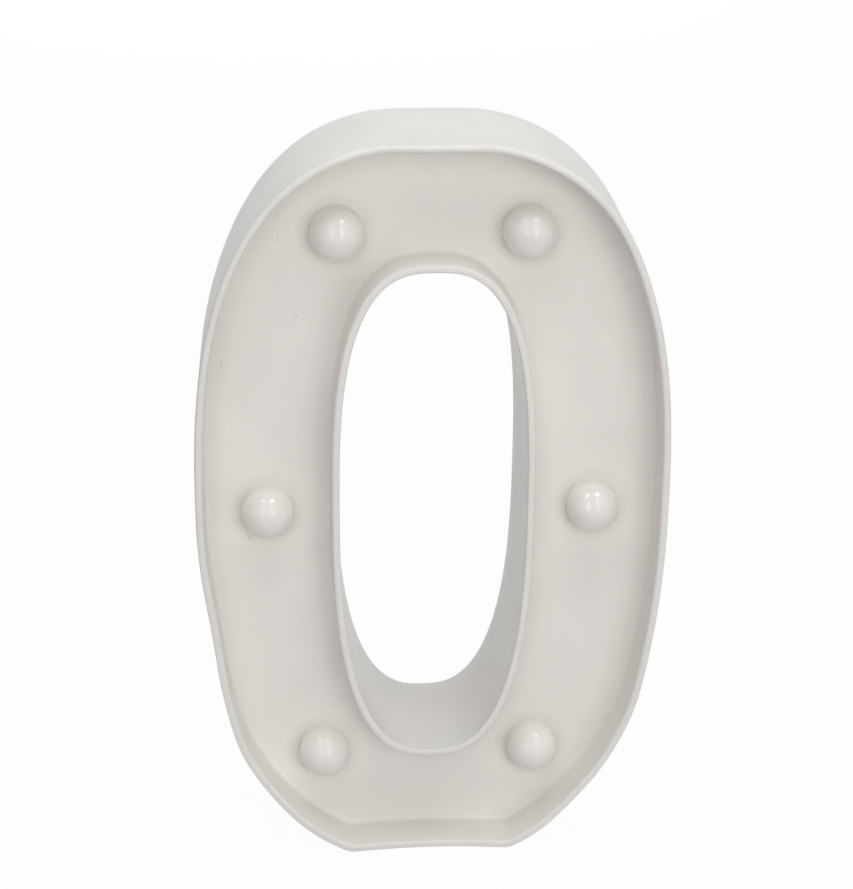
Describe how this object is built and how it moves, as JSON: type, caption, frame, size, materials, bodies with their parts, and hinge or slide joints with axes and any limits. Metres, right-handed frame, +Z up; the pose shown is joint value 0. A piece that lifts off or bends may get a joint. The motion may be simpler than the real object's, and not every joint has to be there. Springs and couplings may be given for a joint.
{
  "type": "marquee number light",
  "caption": "White free-standing marquee digit zero with milky bulbs in an open front channel, battery tray and slide switch behind.",
  "frame": {"origin": "middle of the footprint, on the surface that the digit stands on", "axes": "+Z up the digit, +X to the right seen from the front, +Y from the open front to the back cover"},
  "size_m": [0.1354, 0.042, 0.22],
  "materials": {
    "shell_white": "satin white moulding with a faintly glossy rim",
    "cover_white": "fine matt white moulding",
    "bulb_white": "glossy milky white, slightly see-through",
    "holder_white": "plain white moulding",
    "lamp_clear": "clear cast resin, warm tint",
    "lead_metal": "tinned",
    "cell_jacket": "plain dark grey jacket",
    "contact_steel": "nickel plated",
    "switch_steel": "plain sheet",
    "switch_board": "brown laminate",
    "switch_black": "black moulding",
    "screw_steel": "zinc plated",
    "wire_red": "red insulation",
    "wire_black": "black insulation",
    "resistor_body": "tan lacquer"
  },
  "bodies": {
    "casing": {"front_shell": "shell_white", "back_cover": "cover_white", "battery_cell_1": "cell_jacket", "battery_cell_2": "cell_jacket", "contact_bridge": "contact_steel", "contact_positive": "contact_steel", "contact_negative": "contact_steel", "contact_spring_1": "contact_steel", "contact_spring_2": "contact_steel", "switch_frame": "switch_steel", "switch_base": "switch_board", "switch_terminals": "lead_metal", "switch_screws": "screw_steel", "cover_screws": "screw_steel", "wire_red": "wire_red", "wire_black": "wire_black", "resistor": "resistor_body", "bulb_cap_1": "bulb_white", "bulb_cap_2": "bulb_white", "bulb_cap_3": "bulb_white", "bulb_cap_4": "bulb_white", "bulb_cap_5": "bulb_white", "bulb_cap_6": "bulb_white", "lamp_holder_1": "holder_white", "lamp_holder_2": "holder_white", "lamp_holder_3": "holder_white", "lamp_holder_4": "holder_white", "lamp_holder_5": "holder_white", "lamp_holder_6": "holder_white", "lamp_1": "lamp_clear", "lamp_2": "lamp_clear", "lamp_3": "lamp_clear", "lamp_4": "lamp_clear", "lamp_5": "lamp_clear", "lamp_6": "lamp_clear", "lamp_leads_1": "lead_metal", "lamp_leads_2": "lead_metal", "lamp_leads_3": "lead_metal", "lamp_leads_4": "lead_metal", "lamp_leads_5": "lead_metal", "lamp_leads_6": "lead_metal"},
    "door": {"battery_door": "cover_white"},
    "slider": {"switch_slider": "switch_black"}
  },
  "joints": [
    {"name": "door_hinge", "type": "hinge", "parent": "casing", "child": "door", "pos_m": [0.04679, 0.0185, 0.14255], "axis": [1, 0, 0], "range_deg": [0, 100]},
    {"name": "switch_slide", "type": "slide", "parent": "casing", "child": "slider", "axis": [1, 0, 0], "range_m": [0, 0.003]}
  ]
}
